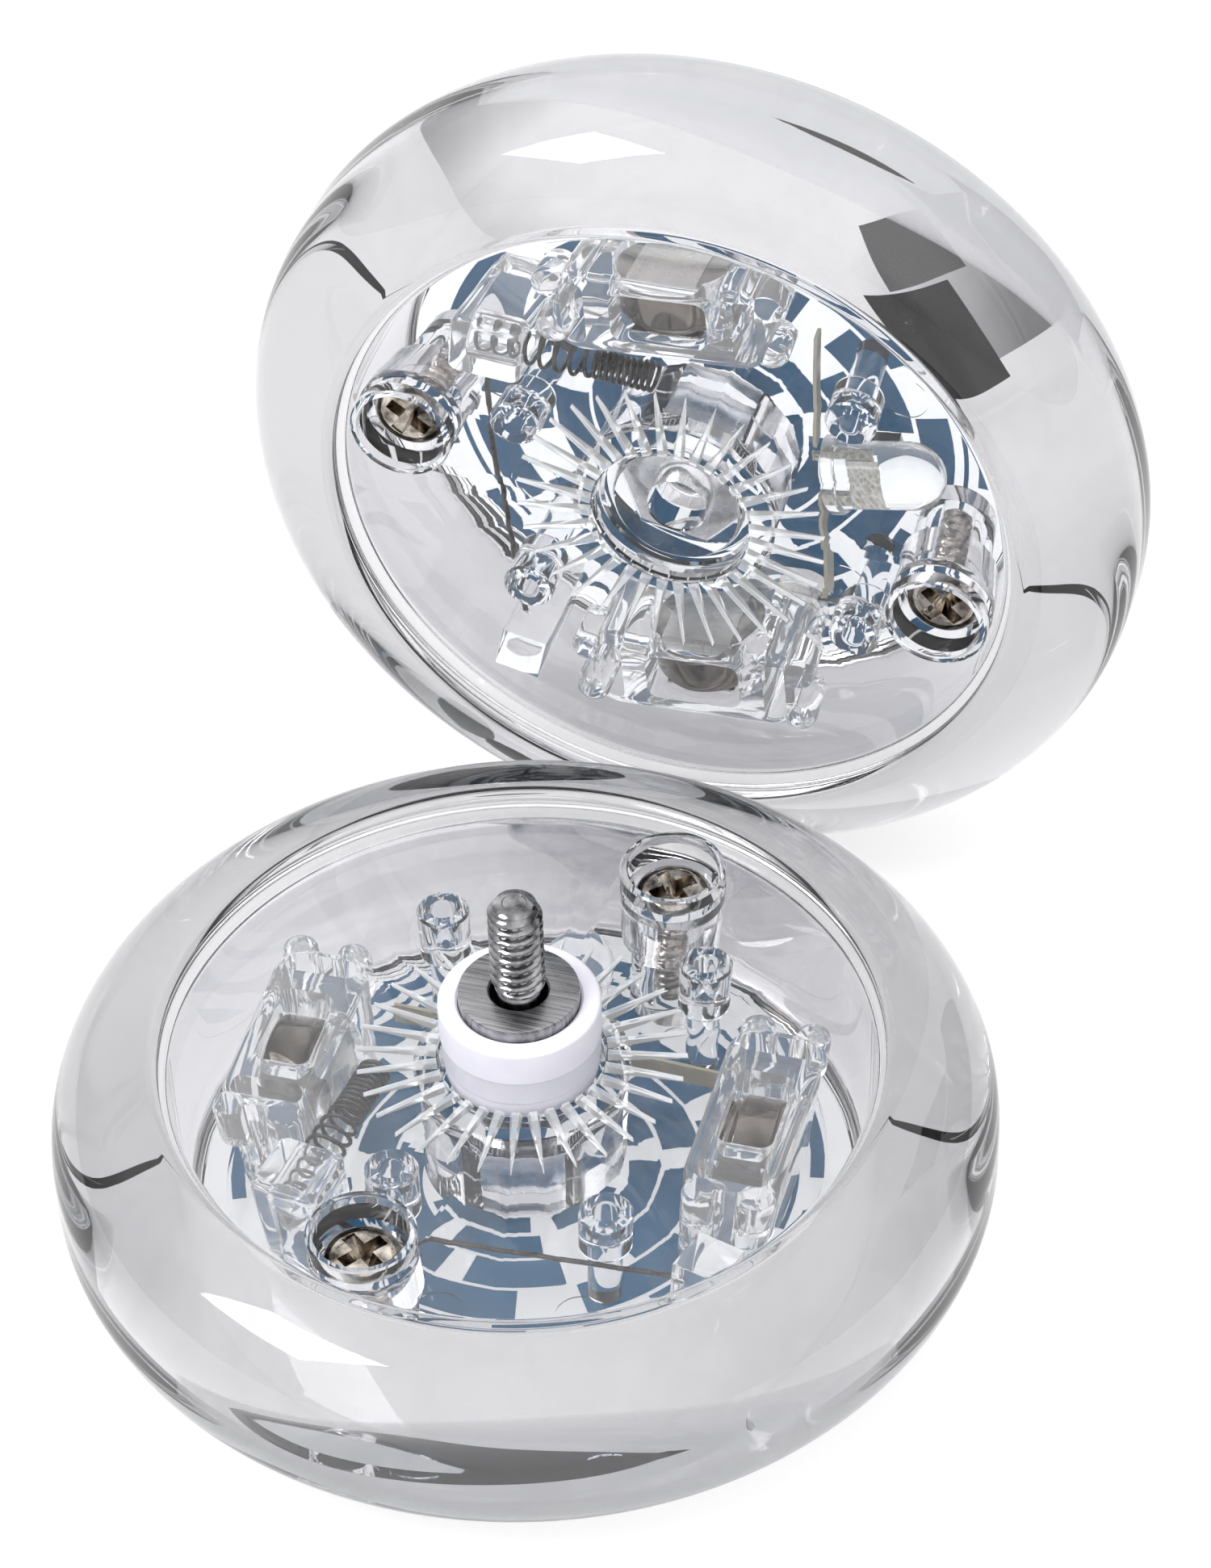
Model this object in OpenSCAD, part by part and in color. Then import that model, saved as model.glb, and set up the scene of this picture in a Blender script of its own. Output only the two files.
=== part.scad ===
// Clear light-up yo-yo, taken apart into its two halves.
// The lower half lies on its flat outer face. The upper half stands on its
// rim behind it. Both halves come from the same moulds, so one set of
// modules builds both. Millimetres, +Z up, origin at the centre of the lower
// half's outer face, +Z along its axle.

/* [Half shell] */
// Outer diameter of the yo-yo
outer_d = 61; // [58:0.5:64]
// Thickness of one half, outer face to string face
half_t = 14.8; // [14.6:0.1:15.4]
// Rounding of the rim on the string side
round_in = 6.3; // [5.6:0.1:6.6]
// Rounding of the rim on the outer side
round_out = 6.4; // [5.6:0.1:6.6]
// Radius of the pocket that takes the light module
cavity_r = 23.3; // [23:0.1:23.8]
// Thickness of the flat web on the string side
web_t = 1.4; // [1:0.1:1.6]
// Outer radius of the hub tube in the middle
hub_r = 6.7; // [6.3:0.1:7]

/* [Starburst] */
// Number of wedge ribs round the axle
ray_count = 32; // [16:4:40]
// Radius where the ribs begin
ray_in = 5.45; // [5.4:0.05:5.8]
// Radius where the ribs end in a point
ray_out = 10.6; // [9:0.2:12]
// Height of the ribs above the web
ray_h = 0.4; // [0.2:0.1:0.8]

/* [Axle and bearing] */
// Diameter of the threaded axle rod, a 6-32 thread
rod_d = 3.5; // [3.3:0.05:3.6]
// Length of the axle rod, seven eighths of an inch
rod_len = 22.2; // [20:0.2:24]
// Outer diameter of the steel sleeve
sleeve_d = 7.8; // [7.4:0.1:8]
// Length of the steel sleeve
sleeve_len = 7.2; // [6.4:0.1:7.6]
// Outer diameter of the white bearing ring
ring_d = 10.4; // [10:0.1:10.4]
// Length of the white bearing ring
ring_len = 5.8; // [5:0.1:6]

/* [Module screws] */
// Distance from the axle to each screw
screw_r = 18.74; // [18.5:0.02:19]
// Diameter of the screw heads
head_d = 5.08; // [4.8:0.02:5.4]
// Diameter of the screw shanks
shank_d = 2.3; // [2:0.1:2.4]

/* [Light module] */
// Diameter of the button cells
cell_d = 7.9; // [7.7:0.1:7.9]
// Thickness of the button cells
cell_t = 3.6; // [3.2:0.1:3.6]
// Distance from the axle to the middle of each battery box
box_r = 15.4; // [15.3:0.1:15.8]
// Diameter of the light-emitting diode
led_d = 5; // [4:0.5:5]
// Wire diameter of the spin switch spring
spring_wire = 0.3; // [0.2:0.05:0.3]

/* [How the halves lie] */
// Turn of the lower half about its own axle
lower_turn = 75.7; // [0:0.1:359]
// Distance from the lower half's axle to the standing half's outer face
stand_dist = 48.1; // [47:0.1:60]
// Roll of the standing half about its own axle
upper_roll = 77.4; // [0:0.1:359]

/* [Hidden] */
$fn = 64;
outer_r = outer_d / 2;
web_top = half_t - 1.0;
web_bot = web_top - web_t;
seat_z = 12.5;            // where the sleeve stands
nut_z0 = 5.0;
nut_z1 = 9.0;
nut_af = 7.94;            // five sixteenths of an inch across the flats
head_z = 13.0;            // top of the screw heads
well_floor = 11.4;
plate_z0 = 1.45;
plate_z1 = 2.45;
cell_z = 7.4;
rod_z0 = 5.05;
thread_z0 = seat_z + sleeve_len + 0.3;
ring_z0 = 13.1;
box_ang = [-74.1, 105.9];
pegs = [[-11.8, 2.4], [-8.3, -11.3], [13.8, -5.5], [9.6, 12.2]];
led_at = [9.0, 2.6, 6.2];
led_ang = 24.2;
hold_at = [-14.9, 7.55];
hold_ang = 7.3;
spring_z = 10.4;
wire_a = [-15.2, 4.9, 9.0];
wire_b = [-14.9, 2.0, 9.0];
wire_c = [-8.6, -17.6, 9.0];

// ---- placing one half ----
module lower_place() rotate([0, 0, lower_turn]) children();
module upper_place() translate([0, stand_dist, outer_r]) rotate([90, 0, 0]) rotate([0, 0, upper_roll - 90]) children();

// A straight round rod between two points.
module rod_between(a, b, r) {
    d = b - a;
    len = norm(d);
    translate(a) rotate([0, acos(d[2] / len), atan2(d[1], d[0])]) cylinder(r = r, h = len, $fn = 24);
}

// A flat strip standing on edge between two points in plan.
module strip_between(a, b, z0, h, t) {
    d = b - a;
    translate([a[0], a[1], z0]) rotate([0, 0, atan2(d[1], d[0])]) translate([0, -t / 2, 0]) cube([norm(d), t, h]);
}

// ---- shell: thick rim, web, starburst, hub tube and screw wells ----
module rim_section() {
    intersection() {
        union() {
            translate([outer_r - round_in, half_t - round_in]) circle(r = round_in);
            translate([outer_r - round_out, round_out]) circle(r = round_out);
            translate([cavity_r, 0]) square([outer_r - round_out - cavity_r, half_t - round_in]);
            translate([cavity_r, round_out]) square([outer_r - round_in - cavity_r, half_t - round_out]);
            translate([cavity_r, round_out]) square([outer_r - cavity_r, half_t - round_in - round_out]);
        }
        translate([cavity_r, 0]) square([outer_r - cavity_r, half_t]);
    }
}

module starburst() {
    for (i = [0 : ray_count - 1]) rotate([0, 0, (i + 0.5) * 360 / ray_count])
        translate([0, 0, web_top - 0.1]) linear_extrude(ray_h + 0.1)
            polygon([[ray_in, -0.38], [ray_out, -0.04], [ray_out, 0.04], [ray_in, 0.38]]);
}

module shell() {
    color([0.93, 0.95, 0.97, 0.5])
    difference() {
        union() {
            rotate_extrude($fn = 128) rim_section();
            translate([0, 0, web_bot]) cylinder(r = cavity_r + 0.2, h = web_t, $fn = 128);
            translate([0, 0, 4]) cylinder(r = hub_r, h = web_top - 4);
            for (s = [-1, 1]) translate([s * screw_r, 0, 8.2]) cylinder(r = 3.5, h = half_t - 8.2);
            starburst();
        }
        // bearing well, rod hole and nut pocket
        translate([0, 0, seat_z]) cylinder(r = 5.35, h = 4);
        translate([0, 0, nut_z1 - 1]) cylinder(r = 2.0, h = 6);
        translate([0, 0, 3]) cylinder(r = (nut_af / 2 + 0.05) / cos(30), h = nut_z1 - 3, $fn = 6);
        // screw wells and shank holes
        for (s = [-1, 1]) translate([s * screw_r, 0, 0]) {
            translate([0, 0, well_floor]) cylinder(r = 3.0, h = 5);
            translate([0, 0, 7]) cylinder(r = 1.3, h = 6);
        }
    }
}

// ---- metal parts in the shell ----
module screw_one() {
    difference() {
        union() {
            translate([0, 0, well_floor]) cylinder(d = head_d, h = 1.1, $fn = 48);
            translate([0, 0, well_floor + 1.1]) cylinder(d1 = head_d, d2 = head_d - 1.2, h = head_z - well_floor - 1.1, $fn = 48);
            translate([0, 0, 3.6]) cylinder(d = shank_d, h = well_floor - 3.6, $fn = 32);
        }
        // cross recess
        for (a = [0, 90]) rotate([0, 0, a + 30]) translate([-1.45, -0.35, head_z - 0.9]) cube([2.9, 0.7, 2]);
        translate([0, 0, head_z - 1.2]) cylinder(r = 0.55, h = 2, $fn = 24);
    }
}

module screws() color([0.5, 0.48, 0.44]) for (s = [-1, 1]) translate([s * screw_r, 0, 0]) screw_one();

module nut() {
    color([0.75, 0.75, 0.76])
    difference() {
        translate([0, 0, nut_z0]) cylinder(r = nut_af / 2 / cos(30), h = nut_z1 - nut_z0, $fn = 6);
        translate([0, 0, nut_z0 - 1]) cylinder(d = rod_d + 0.1, h = 6, $fn = 48);
    }
}

module axle_rod() {
    color([0.72, 0.72, 0.72])
    translate([0, 0, rod_z0]) {
        cylinder(d1 = rod_d - 0.9, d2 = rod_d - 0.5, h = 0.35, $fn = 48);
        // necked stretch inside the nut and the sleeve, full thread above it
        translate([0, 0, 0.35]) cylinder(d = rod_d - 0.5, h = thread_z0 - rod_z0 - 0.35, $fn = 48);
        translate([0, 0, thread_z0 - rod_z0]) cylinder(d = rod_d, h = rod_len - 0.35 - thread_z0 + rod_z0, $fn = 48);
        translate([0, 0, rod_len - 0.35]) cylinder(d1 = rod_d, d2 = rod_d - 0.7, h = 0.35, $fn = 48);
    }
}

module axle_sleeve() {
    color([0.66, 0.66, 0.67])
    translate([0, 0, seat_z]) difference() {
        union() {
            cylinder(d1 = sleeve_d - 0.4, d2 = sleeve_d, h = 0.2);
            translate([0, 0, 0.2]) cylinder(d = sleeve_d, h = sleeve_len - 0.4);
            translate([0, 0, sleeve_len - 0.2]) cylinder(d1 = sleeve_d, d2 = sleeve_d - 0.4, h = 0.2);
        }
        translate([0, 0, -1]) cylinder(d = 3.76, h = sleeve_len + 2, $fn = 48);
    }
}

module bearing_ring() {
    color([0.93, 0.92, 0.97])
    translate([0, 0, ring_z0]) difference() {
        union() {
            cylinder(d = ring_d - 0.5, h = ring_len);
            translate([0, 0, ring_len * 0.22]) cylinder(d = ring_d - 0.2, h = ring_len * 0.78);
            translate([0, 0, ring_len * 0.55]) cylinder(d = ring_d, h = ring_len * 0.45);
        }
        translate([0, 0, -1]) cylinder(d = sleeve_d + 0.1, h = ring_len + 2);
    }
}

// ---- outer disc and printed film ----
module cap() color([0.93, 0.95, 0.97, 0.5]) cylinder(r = cavity_r - 0.2, h = 1.2, $fn = 128);
module label() color([0.18, 0.44, 0.65, 0.7]) translate([0, 0, 1.25]) cylinder(r = 21, h = 0.15, $fn = 128);

// ---- carrier plate with pegs, screw bosses and rests ----
module carrier() {
    color([0.9, 0.94, 0.97, 0.5])
    difference() {
        union() {
            translate([0, 0, plate_z0]) cylinder(r = 22.6, h = plate_z1 - plate_z0, $fn = 128);
            for (p = pegs) translate([p[0], p[1], plate_z1 - 0.1]) {
                cylinder(r = 1.15, h = 6.1, $fn = 32);
                translate([0, 0, 6.05]) cylinder(r = 1.75, h = 12.2 - plate_z1 + 0.1 - 6.05, $fn = 32);
            }
            for (s = [-1, 1]) translate([s * screw_r, 0, plate_z1 - 0.1]) cylinder(r = 2.9, h = 5.6);
            for (a = box_ang) rotate([0, 0, a - 90]) translate([-2, box_r - 1.4, plate_z1 - 0.1]) cube([4, 2.8, 1.05]);
            translate([led_at[0], led_at[1], plate_z1 - 0.1]) rotate([0, 0, led_ang]) translate([2, -1.2, 0]) cube([3, 2.4, 1.3]);
        }
        for (p = pegs) translate([p[0], p[1], 9.7]) cylinder(r = 0.75, h = 4, $fn = 24);
        for (s = [-1, 1]) translate([s * screw_r, 0, 3.2]) cylinder(r = 1.25, h = 6, $fn = 32);
        translate([led_at[0], led_at[1], led_at[2]]) rotate([0, 0, led_ang]) rotate([0, 90, 0]) cylinder(r = led_d / 2 + 0.05, h = 8);
    }
}

// ---- battery box in its own frame: x along the wall, y outwards ----
module battery_box() {
    color([0.88, 0.92, 0.96, 0.5])
    translate([0, box_r, 0]) difference() {
        union() {
            translate([0, 0, plate_z1 + 0.02]) linear_extrude(12.0 - plate_z1 - 0.02)
                hull() for (sx = [-1, 1], sy = [-1, 1]) translate([sx * 5.4, sy * 1.2]) circle(r = 2.0, $fn = 40);
            for (sx = [-1, 1], y = [-1.6, 2.0]) translate([sx * 7.4, y, 8.5]) cylinder(r = 1.25, h = 3.5, $fn = 32);
        }
        translate([0, 2.05, cell_z]) rotate([90, 0, 0]) cylinder(r = cell_d / 2 + 0.1, h = 4.1);
        translate([-cell_d / 2 - 0.1, -2.05, 1]) cube([cell_d + 0.2, 4.1, cell_z - 1]);
        translate([-3.3, -1.85, cell_z]) cube([6.6, 3.7, 6]);
        for (sx = [-1, 1]) translate([sx * 5.8 - 0.8, -2.4, 5.2]) cube([1.6, 4.8, 8]);
        translate([-9, 1.8, 3.5]) cube([18, 0.25, 1.0]);
        translate([-9, -2.05, 3.5]) cube([18, 0.25, 1.0]);
        // open notches between the hooks at the ends
        for (sx = [-1, 1]) translate([sx * 8.2 - 1, -0.7, 4.6]) cube([2, 1.8, 9]);
    }
}

module cell() {
    color([0.6, 0.57, 0.52])
    translate([0, box_r + cell_t / 2, cell_z]) rotate([90, 0, 0]) {
        cylinder(d = cell_d, h = cell_t * 0.8, $fn = 64);
        translate([0, 0, cell_t * 0.8]) cylinder(d1 = cell_d - 0.5, d2 = cell_d - 1.1, h = cell_t * 0.2, $fn = 64);
    }
}

module contact_plate(side) {
    y0 = side > 0 ? 1.83 : -2.0;
    translate([-2.4, y0, 3.6]) cube([4.8, 0.17, 6.9]);
    translate([side > 0 ? 2.3 : -8.6, y0, 3.6]) cube([6.3, 0.17, 0.8]);
}

module battery_contacts() {
    color([0.62, 0.6, 0.56])
    for (a = box_ang) rotate([0, 0, a - 90]) translate([0, box_r, 0]) {
        contact_plate(1);
        contact_plate(-1);
    }
}

// ---- spin switch: block, coil spring, wire and far block ----
module spring_holder() {
    color([0.88, 0.92, 0.96, 0.5])
    translate([hold_at[0], hold_at[1], 0]) rotate([0, 0, hold_ang]) difference() {
        translate([-2.5, -2.3, plate_z1 + 0.02]) cube([5.0, 4.6, 12.2 - plate_z1 - 0.02]);
        translate([-1.3, 0, spring_z]) rotate([0, 90, 0]) cylinder(r = 1.35, h = 5, $fn = 32);
    }
}

// Coil centre radius and distance along the coil, both by turn number.
turns = 18;
steps = 12;
function coil_r(n) = lookup(n, [[0, 0.95], [2.7, 0.95], [3.6, 1.2], [4.5, 1.22], [6, 1.15], [8, 0.98], [18, 0.98]]);
function coil_x(n) = lookup(n, [[0, 0], [3, 3.4], [7.5, 8.0], [18, 12.4]]);
function ring_pt(n, b) = let (a = 360 * n, r = coil_r(n) + spring_wire / 2 * cos(b))
    [coil_x(n) + spring_wire / 2 * sin(b), r * cos(a), r * sin(a)];

module switch_spring() {
    rings = turns * steps;
    pts = [for (i = [0 : rings], k = [0 : 5]) ring_pt(i / steps, k * 60)];
    sides = [for (i = [0 : rings - 1], k = [0 : 5]) let (a = i * 6 + k, b = i * 6 + (k + 1) % 6) [a, b, b + 6, a + 6]];
    ends = [[5, 4, 3, 2, 1, 0], [for (k = [0 : 5]) rings * 6 + k]];
    color([0.3, 0.29, 0.28])
    translate([hold_at[0], hold_at[1], spring_z]) rotate([0, 0, hold_ang]) translate([-1.0, 0, 0])
        polyhedron(points = pts, faces = concat(sides, ends), convexity = 10);
}

module switch_wire() {
    color([0.35, 0.33, 0.31]) {
        rod_between(wire_a, wire_b, 0.2);
        translate(wire_b) sphere(r = 0.2, $fn = 24);
        rod_between(wire_b, wire_c, 0.2);
    }
}

module contact_block() {
    color([0.88, 0.92, 0.96, 0.5])
    difference() {
        translate([-9.5, -20.3, plate_z1 + 0.02]) cube([3.2, 3.4, 11.4 - plate_z1 - 0.02]);
        rod_between(wire_b, wire_c + [0.1, -0.3, 0], 0.3);
    }
}

module contact_strip_a() color([0.86, 0.83, 0.72]) strip_between([5.6, 14.0], [7.5, 4.4], 4.6, 1.6, 0.25);
module contact_strip_b() color([0.86, 0.83, 0.72]) strip_between([8.75, 0.2], [10.9, -8.9], 4.6, 1.6, 0.25);

// ---- light-emitting diode lying on its side, dome outwards ----
module led_place() translate(led_at) rotate([0, 0, led_ang]) children();

module led_frame_shape(grow) {
    translate([1.6 - grow, -1.9 - grow, -0.25 - grow]) cube([2.3 + 2 * grow, 3.0 + 2 * grow, 0.5 + 2 * grow]);
    translate([-1.0, -1.55 - grow, -0.25 - grow]) cube([2.7, 0.5 + 2 * grow, 0.5 + 2 * grow]);
    translate([-1.0, 1.27 - grow, -0.25 - grow]) cube([4.6 + grow, 0.5 + 2 * grow, 0.5 + 2 * grow]);
}

module led_lens() {
    color([0.92, 0.95, 0.97, 0.5])
    led_place() difference() {
        union() {
            rotate([0, 90, 0]) cylinder(r = led_d / 2 + 0.4, h = 1.0);
            rotate([0, 90, 0]) cylinder(d = led_d, h = 6.1);
            translate([6.1, 0, 0]) sphere(d = led_d);
        }
        led_frame_shape(0.03);
    }
}

module led_frame() color([0.82, 0.8, 0.7]) led_place() led_frame_shape(0);

// ---- one module per node ----
module lower_shell() lower_place() shell();
module lower_screws() lower_place() screws();
module lower_nut() lower_place() nut();
module lower_cap() lower_place() cap();
module lower_label() lower_place() label();
module lower_carrier() lower_place() carrier();
module lower_battery_box_a() lower_place() rotate([0, 0, box_ang[0] - 90]) battery_box();
module lower_battery_box_b() lower_place() rotate([0, 0, box_ang[1] - 90]) battery_box();
module lower_cell_a() lower_place() rotate([0, 0, box_ang[0] - 90]) cell();
module lower_cell_b() lower_place() rotate([0, 0, box_ang[1] - 90]) cell();
module lower_battery_contacts() lower_place() battery_contacts();
module lower_spring_holder() lower_place() spring_holder();
module lower_switch_spring() lower_place() switch_spring();
module lower_switch_wire() lower_place() switch_wire();
module lower_contact_block() lower_place() contact_block();
module lower_contact_strip_a() lower_place() contact_strip_a();
module lower_contact_strip_b() lower_place() contact_strip_b();
module lower_led_lens() lower_place() led_lens();
module lower_led_frame() lower_place() led_frame();
module upper_shell() upper_place() shell();
module upper_screws() upper_place() screws();
module upper_nut() upper_place() nut();
module upper_cap() upper_place() cap();
module upper_label() upper_place() label();
module upper_carrier() upper_place() carrier();
module upper_battery_box_a() upper_place() rotate([0, 0, box_ang[0] - 90]) battery_box();
module upper_battery_box_b() upper_place() rotate([0, 0, box_ang[1] - 90]) battery_box();
module upper_cell_a() upper_place() rotate([0, 0, box_ang[0] - 90]) cell();
module upper_cell_b() upper_place() rotate([0, 0, box_ang[1] - 90]) cell();
module upper_battery_contacts() upper_place() battery_contacts();
module upper_spring_holder() upper_place() spring_holder();
module upper_switch_spring() upper_place() switch_spring();
module upper_switch_wire() upper_place() switch_wire();
module upper_contact_block() upper_place() contact_block();
module upper_contact_strip_a() upper_place() contact_strip_a();
module upper_contact_strip_b() upper_place() contact_strip_b();
module upper_led_lens() upper_place() led_lens();
module upper_led_frame() upper_place() led_frame();

lower_shell();
lower_screws();
lower_nut();
lower_cap();
lower_label();
lower_carrier();
lower_battery_box_a();
lower_battery_box_b();
lower_cell_a();
lower_cell_b();
lower_battery_contacts();
lower_spring_holder();
lower_switch_spring();
lower_switch_wire();
lower_contact_block();
lower_contact_strip_a();
lower_contact_strip_b();
lower_led_lens();
lower_led_frame();
axle_rod();
axle_sleeve();
bearing_ring();
upper_shell();
upper_screws();
upper_nut();
upper_cap();
upper_label();
upper_carrier();
upper_battery_box_a();
upper_battery_box_b();
upper_cell_a();
upper_cell_b();
upper_battery_contacts();
upper_spring_holder();
upper_switch_spring();
upper_switch_wire();
upper_contact_block();
upper_contact_strip_a();
upper_contact_strip_b();
upper_led_lens();
upper_led_frame();
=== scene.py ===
# %% [markdown]
# # A clear light-up yo-yo, taken apart
#
# This lesson builds the looks of a see-through yo-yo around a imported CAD
# model. One half lies flat with its axle standing up. The other half stands
# on its rim behind it. Both halves come from the same moulds, so every piece
# is shaped once, in a half's own frame, and then placed twice.

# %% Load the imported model
import math

import bpy
import numpy as np
from mathutils import Matrix


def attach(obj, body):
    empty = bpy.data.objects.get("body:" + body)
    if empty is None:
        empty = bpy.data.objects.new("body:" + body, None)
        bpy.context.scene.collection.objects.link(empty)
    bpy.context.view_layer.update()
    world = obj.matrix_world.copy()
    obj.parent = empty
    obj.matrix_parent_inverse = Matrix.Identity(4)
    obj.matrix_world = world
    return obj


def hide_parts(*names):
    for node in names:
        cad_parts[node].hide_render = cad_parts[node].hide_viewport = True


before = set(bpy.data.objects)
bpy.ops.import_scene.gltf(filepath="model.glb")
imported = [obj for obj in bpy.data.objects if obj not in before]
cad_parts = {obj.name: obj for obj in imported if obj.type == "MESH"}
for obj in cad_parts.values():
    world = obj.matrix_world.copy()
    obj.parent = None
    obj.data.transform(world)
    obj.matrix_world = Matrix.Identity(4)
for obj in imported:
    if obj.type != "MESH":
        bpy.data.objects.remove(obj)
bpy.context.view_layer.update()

# %% [markdown]
# ## Two frames
#
# A half's own frame is in millimetres. Its origin is the middle of the flat
# outer face and +z points to the side where the string runs. The lower half
# is only turned about its axle. The upper half is rolled, stood up and moved
# back, the same moves as in the CAD model.

# %% Placing a half
LOWER_TURN = math.radians(75.7)
UPPER_ROLL = math.radians(77.4 - 90)
STAND_DIST = 48.1
OUTER_R = 30.5


def turn_z(angle):
    """A turn about +z: x and y mix by the cosine and sine of the angle."""
    c, s = math.cos(angle), math.sin(angle)
    return np.array([[c, -s, 0], [s, c, 0], [0, 0, 1.0]])


STAND_UP = np.array([[1.0, 0, 0], [0, 0, -1], [0, 1, 0]])
HALF_PLACES = {
    "lower": (turn_z(LOWER_TURN), np.zeros(3)),
    "upper": (STAND_UP @ turn_z(UPPER_ROLL), np.array([0, STAND_DIST, OUTER_R])),
}


def in_row(points, half):
    """Turns a half's points into the row's metres: rotate, then shift."""
    turn, shift = HALF_PLACES[half]
    return (np.asarray(points) @ turn.T + shift) / 1000.0


# %% [markdown]
# ## The camera
#
# The camera comes first, because every later choice is judged through it. It
# is a long lens looking down at about 43 degrees, so the round halves show
# little perspective.

# %% Camera
SCENE = bpy.context.scene
CAM_AT = np.array([88.54, -245.95, 278.75]) / 1000
CAM_RIGHT = np.array([0.95571, 0.29305, -0.02726])
CAM_UP = np.array([-0.18003, 0.65534, 0.73357])
CAM_BACK = np.cross(CAM_RIGHT, CAM_UP)
camera_data = bpy.data.cameras.new("camera")
camera_data.sensor_fit = "VERTICAL"
camera_data.sensor_height = 36.0
camera_data.lens = 133.85
camera_data.clip_start = 0.01
camera = bpy.data.objects.new("camera", camera_data)
SCENE.collection.objects.link(camera)
pose = np.eye(4)
pose[:3, :3] = np.stack([CAM_RIGHT, CAM_UP, CAM_BACK], 1)
pose[:3, 3] = CAM_AT
camera.matrix_world = Matrix(pose.tolist())
SCENE.camera = camera
SCENE.view_settings.view_transform = "Standard"
SCENE.cycles.max_bounces = 28
SCENE.cycles.transmission_bounces = 28
SCENE.cycles.transparent_max_bounces = 16

# %% [markdown]
# ## Surfaces from whole arrays
#
# Every shape here is a stack of closed rings. A lathe shape is one circle
# for each point of its profile. A block is the same outline twice. Rings are
# computed as one array, so there is no loop over the points.

# %% Ring stacks
def ring_faces(rings, count, wrap):
    """Joins ring i to ring i+1 with quads; wrap also joins last to first."""
    i = np.arange(rings if wrap else rings - 1)[:, None]
    k = np.arange(count)[None, :]
    j, k2 = (i + 1) % rings, (k + 1) % count
    a, b, c, d = i * count + k, i * count + k2, j * count + k2, j * count + k
    return np.stack([a + 0 * d, b, c, d], -1).reshape(-1, 4).tolist()


def stack(rings, wrap=False):
    """Points and faces of stacked rings, shape (rings, count, 3).

    Without wrap both ends are closed by one flat face."""
    rings = np.asarray(rings, float)
    n, count, _ = rings.shape
    faces = ring_faces(n, count, wrap)
    if not wrap:
        faces.append(list(range(count))[::-1])
        faces.append(list(range((n - 1) * count, n * count)))
    return rings.reshape(-1, 3), faces


def lathe(profile, sides=96, wrap=False):
    """A profile of (radius, z) points turned about z: x = r cos a, y = r sin a."""
    profile = np.asarray(profile, float)
    a = np.linspace(0, 2 * np.pi, sides, endpoint=False)
    r, z = profile[:, :1], profile[:, 1:]
    return stack(np.stack([r * np.cos(a), r * np.sin(a), z + 0 * a], -1), wrap)


def prism(outline, z0, z1):
    """A flat outline (x, y) carried straight up from z0 to z1."""
    outline = np.asarray(outline, float)
    rings = [np.c_[outline, np.full(len(outline), z)] for z in (z0, z1)]
    return stack(rings)


def block(x0, x1, y0, y1, z0, z1):
    """A straight block between two corners."""
    return prism([(x0, y0), (x1, y0), (x1, y1), (x0, y1)], z0, z1)


def arc(cx, cy, radius, start, end, steps=16):
    """Points on a circle's arc, angles in degrees."""
    a = np.radians(np.linspace(start, end, steps))
    return np.c_[cx + radius * np.cos(a), cy + radius * np.sin(a)]


def disc(radius, z0, z1, at=(0, 0), sides=48, edge=0.0):
    """A round post, with its edges taken off by a small straight chamfer."""
    profile = [(radius - edge, z0), (radius, z0 + edge), (radius, z1 - edge), (radius - edge, z1)]
    if not edge:
        profile = profile[:1] + profile[2:3]
    points, faces = lathe(profile, sides)
    return points + np.array([at[0], at[1], 0]), faces


def merged(parts):
    """Several (points, faces) shapes as one list of points and faces."""
    points, faces, base = [], [], 0
    for p, f in parts:
        points.append(np.asarray(p))
        faces += [[base + v for v in face] for face in f]
        base += len(p)
    return np.concatenate(points), faces


def moved(shape, turn=None, shift=(0, 0, 0)):
    """A shape turned by a 3x3 matrix and then shifted."""
    points, faces = shape
    return (points if turn is None else points @ turn.T) + np.asarray(shift), faces


# %% [markdown]
# ## Cutting and joining
#
# A moulded part with wells and pegs is one body of plastic. In clear plastic
# any leftover inner wall would shine, so overlapping shapes are joined by a
# Boolean modifier, and its result is kept as a plain mesh.

# %% Boolean work and finished pieces
def raw_object(shape, name="work"):
    """A mesh object from points and faces."""
    points, faces = shape
    mesh = bpy.data.meshes.new(name)
    mesh.from_pydata(np.asarray(points).tolist(), [], faces)
    mesh.update()
    thing = bpy.data.objects.new(name, mesh)
    SCENE.collection.objects.link(thing)
    return thing


def carve(base, join=(), cut=(), bevel=0.0, segments=2):
    """Joins shapes to a base, then cuts shapes from it, and returns the mesh."""
    body = raw_object(base)
    helpers = []
    for kind, shapes in (("UNION", join), ("DIFFERENCE", cut)):
        for shape in shapes:
            helper = raw_object(shape)
            step = body.modifiers.new(kind, "BOOLEAN")
            step.operation, step.object, step.solver = kind, helper, "EXACT"
            helpers.append(helper)
    if bevel:
        soft = body.modifiers.new("edges", "BEVEL")
        soft.width, soft.segments = bevel, segments
        soft.limit_method, soft.angle_limit = "ANGLE", math.radians(40)
        soft.use_clamp_overlap = True
        soft.harden_normals = False
    graph = bpy.context.evaluated_depsgraph_get()
    mesh = bpy.data.meshes.new_from_object(body.evaluated_get(graph))
    for thing in [body] + helpers:
        bpy.data.objects.remove(thing)
    points = np.empty(len(mesh.vertices) * 3)
    mesh.vertices.foreach_get("co", points)
    faces = [list(face.vertices) for face in mesh.polygons]
    bpy.data.meshes.remove(mesh)
    return points.reshape(-1, 3), faces


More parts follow.
